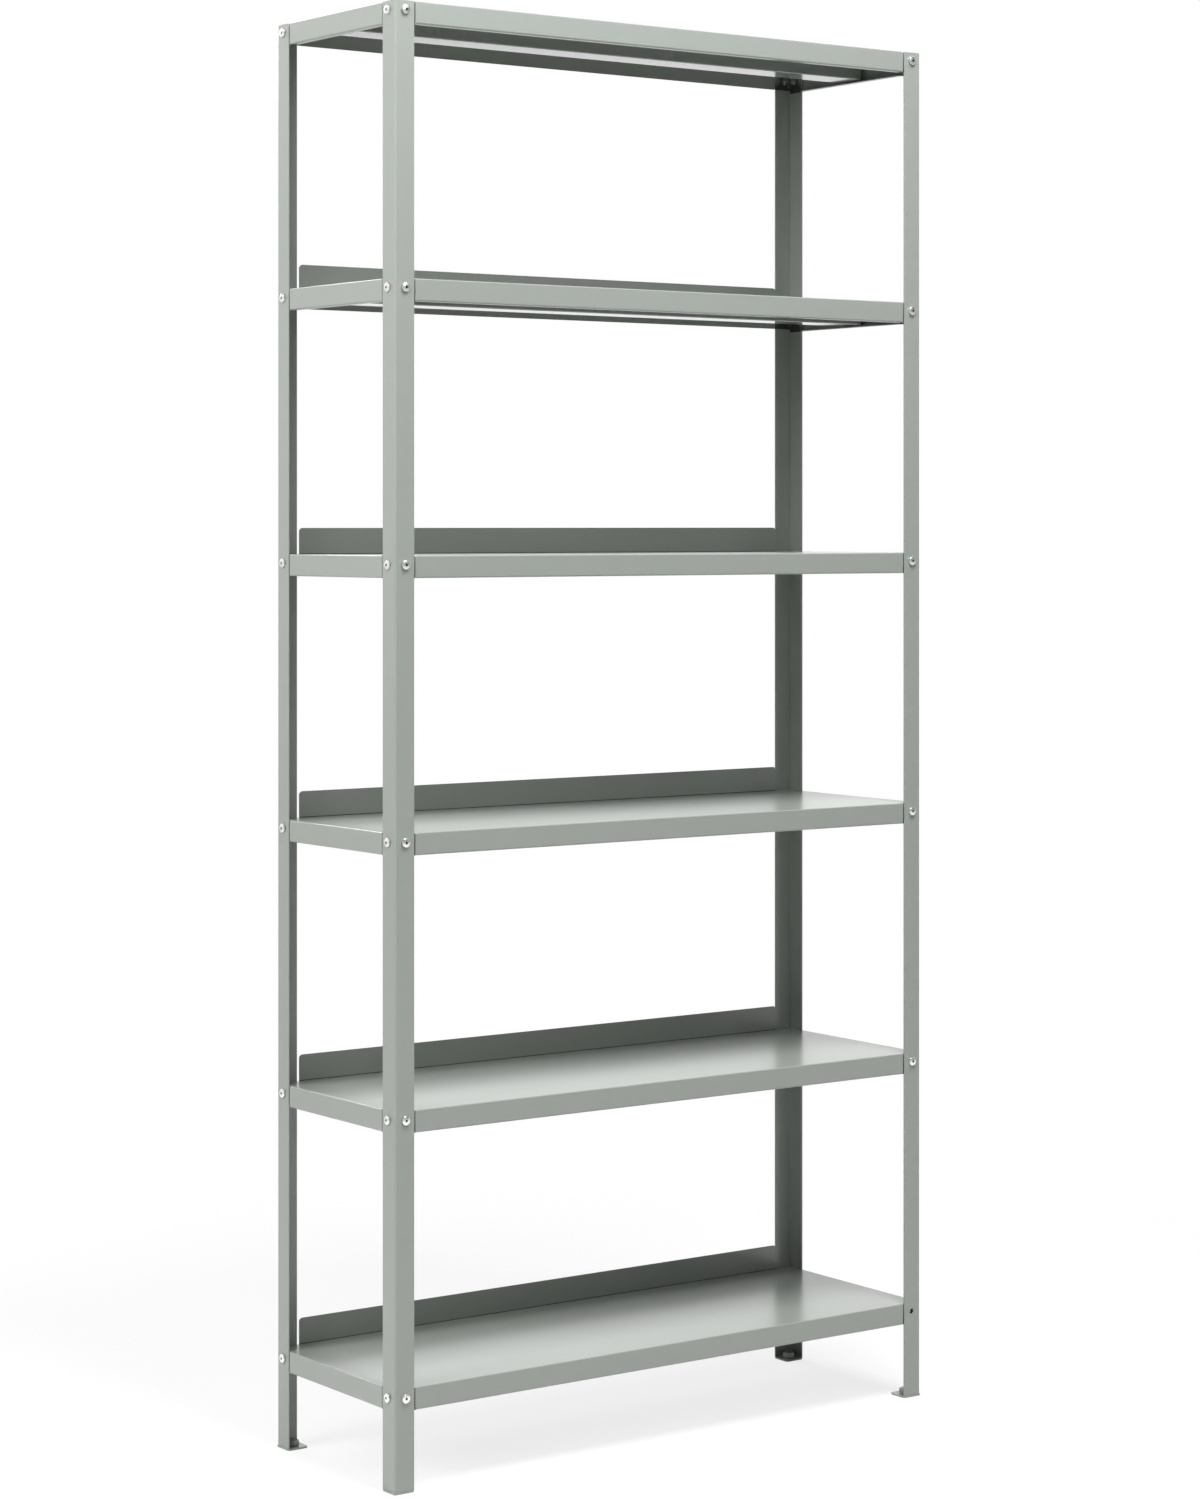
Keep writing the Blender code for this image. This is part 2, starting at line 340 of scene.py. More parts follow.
@dataclass(frozen=True)
class Finish:
    """A finished material and the record's slot that it stands for."""

    slot: MaterialSlot
    material: bpy.types.Material


@dataclass(frozen=True)
class CoatedSteel:
    """Semi-gloss grey-green stove enamel: a fine orange peel, a few grains of dust, and painted
    shade where a mesh marks it.
    """

    title: str = "coated_steel"
    colour: tuple[float, float, float] = (0.269, 0.292, 0.267)
    roughness: float = 0.36
    roughness_spread: float = 0.03
    refraction: float = 1.55
    coat: float = 0.65
    coat_roughness: float = 0.20
    cloud_scale: float = 2.3
    cloud_depth: float = 0.012
    mottle_scale: float = 55.0
    mottle_depth: float = 0.010
    peel_scale: float = 420.0
    fine_peel_scale: float = 1260.0
    fine_peel_share: float = 0.5
    peel_height: float = 0.000008
    dust_scale: float = 60.0
    dust_radius: float = 0.00055
    dust_patch_scale: float = 9.0
    dust_share: float = 0.35
    dust_roughness: float = 0.25
    dust_colour: Rgba = (0.75, 0.76, 0.74, 1.0)
    # Painted shade: where a mesh marks a slit or seam, a near-black colour, more roughness and no
    # coat.
    grime_roughness: float = 0.4
    painted_shade_colour: Rgba = (0.010, 0.012, 0.010, 1.0)

    def finish(self) -> Finish:
        """Make the enamel.

        Returns:
            The finish.
        """
        made = bpy.data.materials.new(self.title)
        sheet = NodeSheet(made)
        cloud = sheet.noise(self.cloud_scale, detail=2.0).step(0.3, 0.7)
        mottle = sheet.noise(self.mottle_scale, detail=3.0, roughness=0.6).step(0.25, 0.75)
        tones = []
        for share, depth in ((cloud, self.cloud_depth), (mottle, self.mottle_depth)):
            deep, pale = shade(self.colour, 1 - depth), shade(self.colour, 1 + depth)
            tones.append(sheet.blend(share, deep, pale))
        dust, painted_shade = self.dust(sheet), sheet.painted_shade()
        dusty = sheet.blend(dust * self.dust_share, sheet.blend(0.5, *tones), self.dust_colour)
        spread = self.roughness_spread
        rough = self.roughness + spread * (mottle - 0.5) + spread * (cloud - 0.5)
        coarse_peel = sheet.noise(self.peel_scale, detail=2.0, roughness=0.45)
        fine_peel = sheet.noise(self.fine_peel_scale, detail=1.0)
        peel = coarse_peel + self.fine_peel_share * fine_peel
        sheet.dress(
            {
                # The base colour turns to near-black painted shade where the mesh marks it.
                "Base Color": sheet.blend(painted_shade, dusty, self.painted_shade_colour),
                "Roughness": rough + self.dust_roughness * dust + self.grime_roughness * painted_shade,
                "Metallic": 0.0,
                "IOR": self.refraction,
                "Coat Weight": (1 - painted_shade) * self.coat,
                "Coat Roughness": self.coat_roughness,
                "Normal": sheet.bump(peel, self.peel_height),
            }
        )
        return Finish(MaterialSlot.COATING, made)

    def dust(self, sheet: NodeSheet) -> Number:
        """Scatter grains of dust over the faces that look up.

        Args:
            sheet: the enamel's node sheet.

        Returns:
            1 on a grain and 0 elsewhere.
        """
        values = {"Vector": sheet.place(), "Scale": self.dust_scale}
        cells = sheet.node("ShaderNodeTexVoronoi", None, values)
        reach = self.dust_radius * self.dust_scale
        grain = 1 - sheet.number(cells, "Distance").step(reach * 0.5, reach)
        patches = sheet.noise(self.dust_patch_scale, detail=2.0).step(0.52, 0.70)
        normal = sheet.node("ShaderNodeNewGeometry").outputs["Normal"]
        upward = sheet.number(sheet.node("ShaderNodeSeparateXYZ", None, {0: normal}), "Z")
        return grain * patches * upward.step(0.90, 0.98)


@dataclass(frozen=True)
class ZincPlate:
    """Zinc-plated fasteners: metal with a faint spangle, and near-black painted shade where a mesh
    marks it.
    """

    title: str
    colour: tuple[float, float, float]
    roughness: float
    roughness_spread: float = 0.08
    spangle_scale: float = 900.0
    spangle_shades: tuple[float, float] = (0.94, 1.04)
    tarnish_scale: float = 160.0
    tarnish_share: float = 0.15
    tarnish_shade: float = 0.75
    mark_height: float = 0.00001
    # Painted shade: near black and rougher where the mesh marks a socket or the parts under a head.
    grime_roughness: float = 0.4
    painted_shade_colour: Rgba = (0.035, 0.038, 0.036, 1.0)

    def finish(self) -> Finish:
        """Make the plating.

        Returns:
            The finish.
        """
        made = bpy.data.materials.new(self.title)
        sheet = NodeSheet(made)
        spangle = sheet.noise(self.spangle_scale, detail=3.0, roughness=0.6).step(0.3, 0.7)
        tarnish = sheet.noise(self.tarnish_scale, detail=2.0).step(0.35, 0.75)
        painted_shade = sheet.painted_shade()
        plated = sheet.blend(spangle, *(shade(self.colour, tone) for tone in self.spangle_shades))
        tarnished = shade(self.colour, self.tarnish_shade)
        aged = sheet.blend(tarnish * self.tarnish_share, plated, tarnished)
        spread = self.roughness_spread
        rough = self.roughness + spread * (spangle - 0.5) + spread * tarnish
        sheet.dress(
            {
                # The base colour turns to painted shade where the mesh marks it.
                "Base Color": sheet.blend(painted_shade, aged, self.painted_shade_colour),
                "Roughness": rough + self.grime_roughness * painted_shade,
                "Metallic": 1.0,
                "Normal": sheet.bump(spangle, self.mark_height),
            }
        )
        return Finish(MaterialSlot.ZINC, made)


SMOOTH_COATED_STEEL = CoatedSteel(
    title="smooth_coated_steel", coat=1.0, coat_roughness=0.08, roughness=0.26
)
BRIGHT_ZINC = ZincPlate("bright_zinc", (0.90, 0.90, 0.89), 0.24)
# Nut plating: rougher, with its base colour darkened as painted shade for the dark surroundings
# that the nuts reflect.
DULL_SHADED_ZINC = ZincPlate("dull_shaded_zinc", (0.34, 0.35, 0.34), 0.36)


# Work on steel.


def line(
    bm: bmesh.types.BMesh, places: Iterable[Sequence[float]]
) -> tuple[list[bmesh.types.BMVert], list[bmesh.types.BMEdge]]:
    """Draw a line through some places.

    Args:
        bm: the shape that it is added to.
        places: its points in order.

    Returns:
        Its points and its edges.
    """
    points = [bm.verts.new(place) for place in places]
    return points, [bm.edges.new(pair) for pair in zip(points, points[1:])]


def draw_out(
    bm: bmesh.types.BMesh,
    edges: Sequence[bmesh.types.BMEdge],
    move: Sequence[float] = (0.0, 0.0, 0.0),
) -> list[bmesh.types.BMVert]:
    """Draw a sheet out of some edges.

    Args:
        bm: the shape.
        edges: where the sheet starts.
        move: from there to where it ends.

    Returns:
        The points of its far side.
    """
    made = bmesh.ops.extrude_edge_only(bm, edges=edges)["geom"]
    far = [item for item in made if isinstance(item, bmesh.types.BMVert)]
    bmesh.ops.translate(bm, verts=far, vec=move)
    return far


def block(bm: bmesh.types.BMesh, size: Sequence[float], middle: Sequence[float]) -> None:
    """Add a block of a size round its middle."""
    corners = bmesh.ops.create_cube(bm, size=1.0)["verts"]
    bmesh.ops.scale(bm, verts=corners, vec=size)
    bmesh.ops.translate(bm, verts=corners, vec=middle)


def divide(bm: bmesh.types.BMesh, spot: Sequence[float], normal: Sequence[float]) -> None:
    """Divide the faces of a shape along a plane, and keep both sides."""
    shape = bm.verts[:] + bm.edges[:] + bm.faces[:]
    bmesh.ops.bisect_plane(bm, geom=shape, plane_co=spot, plane_no=normal)


def face_out(bm: bmesh.types.BMesh, inner: Vector) -> None:
    """Turn the faces of an open sheet away from a point.

    Args:
        bm: the sheet.
        inner: a point on the side that the faces look away from.
    """
    bmesh.ops.recalc_face_normals(bm, faces=bm.faces[:])
    widest = max(bm.faces, key=lambda face: face.calc_area())
    if widest.normal.dot(widest.calc_center_median() - inner) < 0.0:
        bmesh.ops.reverse_faces(bm, faces=bm.faces[:])


def give_wall(bm: bmesh.types.BMesh, thickness: float, inner: Vector) -> None:
    """Give an open sheet its wall, inward from the face that shows.

    Args:
        bm: the sheet.
        thickness: of the wall.
        inner: a point on the inner side.
    """
    face_out(bm, inner)
    bmesh.ops.solidify(bm, geom=bm.faces[:], thickness=thickness)
    bmesh.ops.recalc_face_normals(bm, faces=bm.faces[:])


def round_off(
    bm: bmesh.types.BMesh,
    items: Sequence[bmesh.types.BMEdge] | Sequence[bmesh.types.BMVert],
    radius: float,
    segments: int,
    affect: str = "EDGES",
) -> None:
    """Round edges or corners.

    Args:
        bm: the shape.
        items: the edges of a solid or sheet, or the corners of a sheet.
        radius: how far the rounding reaches from each.
        segments: number of its facets.
        affect: EDGES or VERTICES.
    """
    bmesh.ops.bevel(
        bm,
        geom=items,
        offset=radius,
        affect=affect,
        segments=segments,
        profile=0.5,
        material=-1,
        clamp_overlap=False,
    )


def round_edges(
    bm: bmesh.types.BMesh,
    radius: float,
    segments: int,
    wanted: Callable[[bmesh.types.BMEdge], bool],
) -> None:
    """Round the edges that a test picks.

    Args:
        bm: the shape.
        radius: how far the rounding reaches from each edge.
        segments: number of its facets.
        wanted: tells whether an edge is rounded.
    """
    round_off(bm, [edge for edge in bm.edges if wanted(edge)], radius, segments)


def is_sharp(edge: bmesh.types.BMEdge) -> bool:
    """Tell whether an edge joins two faces at about a right angle."""
    return edge.is_manifold and edge.calc_face_angle() > math.radians(60.0)


def is_upright(edge: bmesh.types.BMEdge, reach: float = math.inf) -> bool:
    """Tell whether an edge runs straight up, within a reach of the vertical axis."""
    low, high = edge.verts
    return (low.co - high.co).xy.length < TINY and low.co.xy.length < reach


def turned(profile: Sequence[tuple[float, float]], steps: int) -> bmesh.types.BMesh:
    """Turn a profile round the vertical axis, as on a lathe.

    Args:
        profile: radius and height of its points, from the axis to the axis.
        steps: number of facets round.

    Returns:
        The closed shape.
    """
    bm = bmesh.new()
    points, edges = line(bm, [(radius, 0.0, height) for radius, height in profile])
    bmesh.ops.spin(
        bm,
        geom=points + edges,
        cent=(0.0, 0.0, 0.0),
        axis=(0.0, 0.0, 1.0),
        angle=math.tau,
        steps=steps,
        use_merge=True,
    )
    bmesh.ops.remove_doubles(bm, verts=bm.verts[:], dist=TINY / 10)
    bmesh.ops.recalc_face_normals(bm, faces=bm.faces[:])
    return bm


def rod(
    bm: bmesh.types.BMesh, radius: float, low: float, high: float, sides: int, matrix: Matrix
) -> None:
    """Add a straight rod along its own vertical axis.

    Args:
        bm: the shape that it is added to.
        radius: to its corners.
        low: height of its lower end.
        high: height of its upper end.
        sides: number of its sides.
        matrix: moves it into place.
    """
    middle = Matrix.Translation((0.0, 0.0, (low + high) / 2))
    bmesh.ops.create_cone(
        bm,
        cap_ends=True,
        segments=sides,
        radius1=radius,
        radius2=radius,
        depth=high - low,
        matrix=matrix @ middle,
    )


def cut_with(bm: bmesh.types.BMesh, tool: bmesh.types.BMesh, cut: Cut) -> bmesh.types.BMesh:
    """Cut a shape with a tool. Both are used up.

    Args:
        bm: the shape.
        tool: a closed shape.
        cut: what the tool does.

    Returns:
        The cut shape.
    """
    helpers = []
    for title, shape in (("blank", bm), ("tool", tool)):
        mesh = bpy.data.meshes.new(title)
        shape.to_mesh(mesh)
        shape.free()
        helper = bpy.data.objects.new(title, mesh)
        bpy.context.scene.collection.objects.link(helper)
        helpers.append(helper)
    blank, cutter = helpers
    boolean = blank.modifiers.new("cut", "BOOLEAN")
    boolean.operation = cut.value
    boolean.solver = "EXACT"
    boolean.object = cutter
    bpy.context.view_layer.update()
    graph = bpy.context.evaluated_depsgraph_get()
    result = bmesh.new()
    result.from_mesh(blank.evaluated_get(graph).data)
    for helper in helpers:
        mesh = helper.data
        bpy.data.objects.remove(helper)
        bpy.data.meshes.remove(mesh)
    return result


@dataclass
class Workshop:
    """Turns shapes into pieces of the object that ride on the frame."""

    made: int = 0

    def add(
        self,
        title: str,
        shape: bpy.types.Mesh,
        place: Matrix,
        finish: Finish,
        *nodes: str,
    ) -> None:
        """Place a copy of a mesh as one piece.

        Args:
            title: the piece's name.
            shape: the mesh, made round its own origin.
            place: where it goes; the move is taken into the mesh.
            finish: what it wears.
            nodes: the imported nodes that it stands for.
        """
        mesh = shape.copy()
        mesh.name = title
        mesh.transform(place)
        mesh.materials.clear()
        mesh.materials.append(finish.material)
        piece = bpy.data.objects.new(title, mesh)
        bpy.context.scene.collection.objects.link(piece)
        weigh = piece.modifiers.new("even_normals", "WEIGHTED_NORMAL")
        weigh.keep_sharp = True
        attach(piece, BODY)
        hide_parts(*nodes)
        self.made += 1
        LOG.info("%s: %d faces", title, len(mesh.polygons))


def pattern(title: str, bm: bmesh.types.BMesh, crease: float = 35.0) -> bpy.types.Mesh:
    """Turn a shape into a mesh that pieces are copied from.

    Args:
        title: the mesh's name.
        bm: the shape, which is used up.
        crease: the angle in degrees from which an edge shows as sharp.

    Returns:
        The mesh.
    """
    mesh = bpy.data.meshes.new(title)
    bm.to_mesh(mesh)
    bm.free()
    mesh.shade_smooth()
    mesh.set_sharp_from_angle(angle=math.radians(crease))
    return mesh


# Sub-assemblies.

HEXAGON_FACE = 0.97  # Width of a hexagon's round end face over its width across the flats.
HEXAGON_TURNING = 1.01  # Reach of the turning past a hexagon's corners.
HEXAGON_FACETS = 48  # Facets of that turning.
HEXAGON_CREASE = 20.0  # Angle in degrees from which a hexagon's edges show as sharp.


def hexagon(across: float, height: float, chamfer: float) -> bmesh.types.BMesh:
    """Make a hexagon block whose corners are turned off at both ends.

    Args:
        across: its width across the flats.
        height: its height.
        chamfer: height of the turned-off corners.

    Returns:
        The block, standing on height 0.
    """
    reach = across / 2 / math.cos(math.pi / 6)
    blank = bmesh.new()
    rod(blank, reach, 0.0, height, 6, Matrix.Identity(4))
    face, past = across / 2 * HEXAGON_FACE, reach * HEXAGON_TURNING
    turning = [
        (0.0, -TINY),
        (face, -TINY),
        (past, chamfer),
        (past, height - chamfer),
        (face, height + TINY),
        (0.0, height + TINY),
    ]
    return cut_with(blank, turned(turning, HEXAGON_FACETS), Cut.KEEP_COMMON)


@dataclass
class Posts:
    """Four angle posts with the plate and hexagon welded to each foot."""

    sizes: FrameSizes
    enamel: Finish
    bend: float = 0.003
    bend_facets: int = 6
    top_corner: float = 0.0015
    top_corner_facets: int = 4
    edge_round: float = 0.0004
    edge_facets: int = 2
    plate: float = 0.0025
    overhang: float = 0.001
    plate_corner: float = 0.005
    plate_corner_facets: int = 6
    plate_outer_corner: float = 0.003
    plate_outer_corner_facets: int = 4
    hexagon_across: float = 0.017
    hexagon_height: float = 0.008
    hexagon_chamfer: float = 0.0012
    hexagon_from_corner: float = 0.0145
    hexagon_turn: float = 15.0
    bead: float = 0.0012
    bead_end_gap: float = 0.004
    bead_crease: float = 80.0

    def angle(self) -> bmesh.types.BMesh:
        """Fold the angle and cut its screw holes.

        Returns:
            The post with its outer corner at the origin and its legs along +X and +Y.
        """
        s = self.sizes
        bm = bmesh.new()
        _, foot = line(bm, [(x, y, self.plate) for x, y in ((s.leg, 0), (0, 0), (0, s.leg))])
        top = draw_out(bm, foot, (0.0, 0.0, s.deck_height(1) - self.plate))
        ends = [vert for vert in top if vert.co.xy.length > TINY]
        round_off(bm, ends, self.top_corner, self.top_corner_facets, "VERTICES")
        round_edges(bm, self.bend, self.bend_facets, lambda edge: is_upright(edge, TINY))
        give_wall(bm, s.wall, Vector((s.leg, s.leg, 1.0)))
        round_edges(bm, self.edge_round, self.edge_facets, is_sharp)
        holes = bmesh.new()
        for number in range(1, s.shelf_count + 1):
            height = Matrix.Translation((0.0, 0.0, s.screw_height(number)))
            for leg in s.legs():
                rod(holes, s.hole_radius, -2 * s.wall, s.wall, s.hole_facets, height @ leg)
        return cut_with(bm, holes, Cut.TAKE_AWAY)

    def foot_plate(self) -> bmesh.types.BMesh:
        """Cut the plate below a post.

        Returns:
            The plate, in the post's own place.
        """
        side = self.sizes.leg + 2 * self.overhang
        middle = side / 2 - self.overhang
        bm = bmesh.new()
        block(bm, (side, side, self.plate), (middle, middle, self.plate / 2))
        for radius, facets, reach in (
            (self.plate_outer_corner, self.plate_outer_corner_facets, side / 2),
            (self.plate_corner, self.plate_corner_facets, math.inf),
        ):
            corners = [edge for edge in bm.edges if is_upright(edge, reach) and is_sharp(edge)]
            round_off(bm, corners, radius, facets)
        round_edges(bm, self.edge_round, self.edge_facets, is_sharp)
        return bm

    def weld_bead(self) -> bmesh.types.BMesh:
        """Lay the weld along the inside of the foot.

        Returns:
            A three-sided bead in the corner between the legs and the plate.
        """
        inside, end = self.sizes.wall - TINY, self.sizes.leg - self.bead_end_gap
        bm = bmesh.new()
        corners = ((end, inside), (inside, inside), (inside, end))
        _, low = line(bm, [(x, y, self.plate - TINY) for x, y in corners])
        draw_out(bm, low, (0.0, 0.0, self.bead))
        for vert in draw_out(bm, low):
            vert.co.x += self.bead if vert.co.x < inside + TINY else 0.0
            vert.co.y += self.bead if vert.co.y < inside + TINY else 0.0
        rims = [edge for edge in bm.edges if edge.is_boundary and not is_upright(edge)]
        long_rims = [edge for edge in rims if edge.calc_length() > 2 * self.bead]
        bmesh.ops.bridge_loops(bm, edges=long_rims)
        bmesh.ops.holes_fill(bm, edges=bm.edges[:], sides=3)
        bmesh.ops.recalc_face_normals(bm, faces=bm.faces[:])
        return bm

    def build(self, shop: Workshop) -> None:
        """Make the posts and their feet.

        Args:
            shop: where the pieces are finished.
        """
        lift = Matrix.Translation((self.hexagon_from_corner, self.hexagon_from_corner, self.plate))
        turn = Matrix.Rotation(math.radians(self.hexagon_turn), 4, "Z")
        head = hexagon(self.hexagon_across, self.hexagon_height, self.hexagon_chamfer)
        bmesh.ops.transform(head, matrix=lift @ turn, verts=head.verts[:])
        shapes = {
            "angle_post": pattern("angle_post", self.angle()),
            "foot_plate": pattern("foot_plate", self.foot_plate()),
            "foot_weld": pattern("foot_weld", self.weld_bead(), self.bead_crease),
            "foot_hexagon": pattern("foot_hexagon", head, HEXAGON_CREASE),
        }
        for corner in Corner:
            place, node = corner.place(self.sizes), f"post_{corner.title}"
            for title, shape in shapes.items():
                shop.add(f"{title}_{corner.title}", shape, place, self.enamel, node)


@dataclass
class Shelves:
    """Six pressed trays, each with a hat-section stiffener and most with an upstand."""

    sizes: FrameSizes
    enamel: Finish
    smooth: Finish
    apron: float = 0.0295
    rear_apron: float = 0.025
    deck_bend: float = 0.0016
    deck_bend_facets: int = 4
    lip_bend: float = 0.0023
    lip_bend_facets: int = 5
    lip: float = 0.010
    lip_end_gap: float = 0.004
    upstand: float = 0.036
    upstand_corner: float = 0.005
    upstand_corner_facets: int = 8
    upstand_edge: float = 0.0002
    upstand_end_gap: float = 0.0025
    upstand_right_reach: float = 0.0014
    upstand_from_rear: float = 0.0025
    seam_fades: tuple[float, float] = (0.0006, 0.0010)  # Heights between which the painted shade along the upstand's foot fades out.
    shade_free_step: float = 0.0003  # Strip of a seat, next to its apron's end, that gets no painted shade.
    panel_corner: float = 0.0014
    panel_corner_facets: int = 3
    hat_width: float = 0.050
    hat_depth: float = 0.026
    hat_flange: float = 0.012
    hat_bend: float = 0.0016
    hat_bend_facets: int = 4
    hat_end_gap: float = 0.005

    def plan(self) -> bmesh.types.BMesh:
        """Cut the deck's plan from a rectangle and notch it behind the legs.

        Returns:
            One flat face at height 0.
        """
        s = self.sizes
        half = Vector((s.width / 2, s.depth / 2))
        bm = bmesh.new()
        bmesh.ops.create_grid(bm, x_segments=1, y_segments=1, size=0.5)
        bmesh.ops.scale(bm, verts=bm.verts[:], vec=(s.width, s.depth, 1.0))
        for axis, reach in ((0, half.x), (1, half.y)):
            for inset in (s.behind, s.beside):
                for side in (-1, 1):
                    point, normal = Vector(), Vector()
                    point[axis] = side * (reach - inset)
                    normal[axis] = 1.0
                    divide(bm, point, normal)

        def is_notch(face: bmesh.types.BMFace) -> bool:
            """Tell whether a cell lies where a leg stands."""
            middle = face.calc_center_median()
            gap_x, gap_y = half.x - abs(middle.x), half.y - abs(middle.y)
            return max(gap_x, gap_y) < s.beside and min(gap_x, gap_y) < s.behind

        notches = [face for face in bm.faces if is_notch(face)]
        bmesh.ops.delete(bm, geom=notches, context="FACES")
        flat = math.radians(1.0)
        bmesh.ops.dissolve_limit(bm, angle_limit=flat, verts=bm.verts[:], edges=bm.edges[:])
        ends = [v for v in bm.verts if min(half.x - abs(v.co.x), half.y - abs(v.co.y)) < TINY]
        round_off(bm, ends, self.panel_corner, self.panel_corner_facets, "VERTICES")
        return bm

    def lips(self, bm: bmesh.types.BMesh) -> None:
        """Turn the lips in from the bottoms of the front and side aprons.

        Args:
            bm: the tray's sheet.
        """
        s = self.sizes
        for axis, side, reach in ((1, -1, s.depth / 2), (0, -1, s.width / 2), (0, 1, s.width / 2)):
            low = [vert for vert in bm.verts if vert.co.z < TINY - self.apron]
            foot = {vert for vert in low if abs(vert.co[axis] - side * reach) < TINY}
            fold = [edge for edge in bm.edges if foot.issuperset(edge.verts)]
            for vert in draw_out(bm, fold):
                vert.co[axis] -= side * self.lip
                vert.co[1 - axis] -= math.copysign(self.lip_end_gap, vert.co[1 - axis])
            round_off(bm, fold, self.lip_bend, self.lip_bend_facets)

    def tray(self) -> bmesh.types.BMesh:
        """Fold a tray and cut its screw holes.

        Returns:
            The tray with the top of its deck at height 0.
        """
        s = self.sizes
        bm = self.plan()
        draw_out(bm, [edge for edge in bm.edges if edge.is_boundary], (0.0, 0.0, -self.apron))
        self.lips(bm)
        round_edges(
            bm,
            self.deck_bend,
            self.deck_bend_facets,
            lambda edge: all(abs(vert.co.z) < TINY for vert in edge.verts),
        )
        give_wall(bm, s.sheet, Vector((0.0, 0.0, -1.0)))
        made = cut_with(bm, self.tools(), Cut.TAKE_AWAY)
        # Painted shade: the seats behind the legs, below the deck's bend and apart from a strip by
        # the step, are marked dark for the shade in the slit beside each leg.
        for axis, half in enumerate((s.width / 2, s.depth / 2)):
            for side in (-1, 1):
                normal = Vector((float(axis == 0), float(axis == 1), 0.0))
                divide(made, side * (half - s.beside + self.shade_free_step) * normal, normal)
        painted_shade = made.verts.layers.float.new(PAINTED_SHADE)
        seat, below = s.beside - self.shade_free_step + TINY, -2 * self.deck_bend
        for vert in made.verts:
            inset = (s.width / 2 - abs(vert.co.x), s.depth / 2 - abs(vert.co.y))
            on_seat = max(inset) < seat and min(inset) > s.sheet
            vert[painted_shade] = float(on_seat and vert.co.z < below)
        return made

    def tools(self) -> bmesh.types.BMesh:
        """Make the punches of the screw holes and the shear of the rear apron.

        Returns:
            All the tools as one set of closed shapes.
        """
        s = self.sizes
        bm = bmesh.new()
        drop = Matrix.Translation((0.0, 0.0, -s.screw_below_deck))
        low, high = -s.grip - CLEARANCE, s.seat_gap - s.wall
        for corner in Corner:
            for leg in s.legs():
                place = corner.place(s) @ drop @ leg
                rod(bm, s.hole_radius, low, high, s.hole_facets, place)
        deep = s.behind + 2 * s.sheet
        middle = ((s.depth - deep) / 2 + TINY, (-self.apron - self.rear_apron - CLEARANCE) / 2)
        block(bm, (s.width, deep, self.apron - self.rear_apron + CLEARANCE), (0.0, *middle))
        return bm

    def hat(self) -> bmesh.types.BMesh:
        """Fold the stiffener.

        Returns:
            The stiffener below a deck whose top is at height 0.
        """
        s = self.sizes
        half, seat = self.hat_width / 2, -2 * s.sheet - TINY
        length = s.width / 2 - s.sheet - self.hat_end_gap
        bm = bmesh.new()
        section = [(half + self.hat_flange, seat), (half, seat), (half, -self.hat_depth)]
        section += [(-y, z) for y, z in reversed(section)]
        _, edges = line(bm, [(-length, y, z) for y, z in section])
        draw_out(bm, edges, (2 * length, 0.0, 0.0))
        round_edges(bm, self.hat_bend, self.hat_bend_facets, is_sharp)
        give_wall(bm, s.sheet, Vector((0.0, 0.0, 0.0)))
        return bm

    def upright_strip(self) -> bmesh.types.BMesh:
        """Cut the upstand with its two round upper corners.

        Returns:
            The upstand on a deck whose top is at height 0.
        """
        s = self.sizes
        length = s.width - 2 * (s.leg + self.upstand_end_gap)
        low, behind = -s.sheet / 2, s.depth / 2 - self.upstand_from_rear
        bm = bmesh.new()
        middle = (0.0, behind - s.sheet / 2, (self.upstand + low) / 2)
        block(bm, (length, s.sheet, self.upstand - low), middle)
        right = [vert for vert in bm.verts if vert.co.x > 0.0]
        bmesh.ops.translate(bm, verts=right, vec=(self.upstand_right_reach, 0.0, 0.0))

        def is_upper_corner(edge: bmesh.types.BMEdge) -> bool:
            """Tell whether an edge is one of the two short upper ones."""
            return edge.calc_length() < 2 * s.sheet and edge.verts[0].co.z > 0.0

        round_edges(bm, self.upstand_corner, self.upstand_corner_facets, is_upper_corner)
        round_edges(bm, self.upstand_edge, 1, is_sharp)
        # Painted shade: the foot of the upstand is marked dark, for the contact shadow where it
        # meets the deck.
        for height in self.seam_fades:
            divide(bm, (0.0, 0.0, height), (0.0, 0.0, 1.0))
        painted_shade = bm.verts.layers.float.new(PAINTED_SHADE)
        for vert in bm.verts:
            vert[painted_shade] = float(vert.co.z < sum(self.seam_fades) / 2)
        return bm

    def build(self, shop: Workshop) -> None:
        """Make the shelves.

        Args:
            shop: where the pieces are finished.
        """
        shapes = {
            "shelf_tray": pattern("tray", self.tray()),
            "shelf_stiffener": pattern("hat", self.hat()),
            "shelf_upstand": pattern("strip", self.upright_strip()),
        }
        for number in range(1, self.sizes.shelf_count + 1):
            place = Matrix.Translation((0.0, 0.0, self.sizes.deck_height(number)))
            for title, shape in shapes.items():
                if (number, title) == (1, "shelf_upstand"):
                    continue
                finish = self.smooth if title == "shelf_stiffener" else self.enamel
                shop.add(f"{title}_{number}", shape, place, finish, f"shelf_{number}")


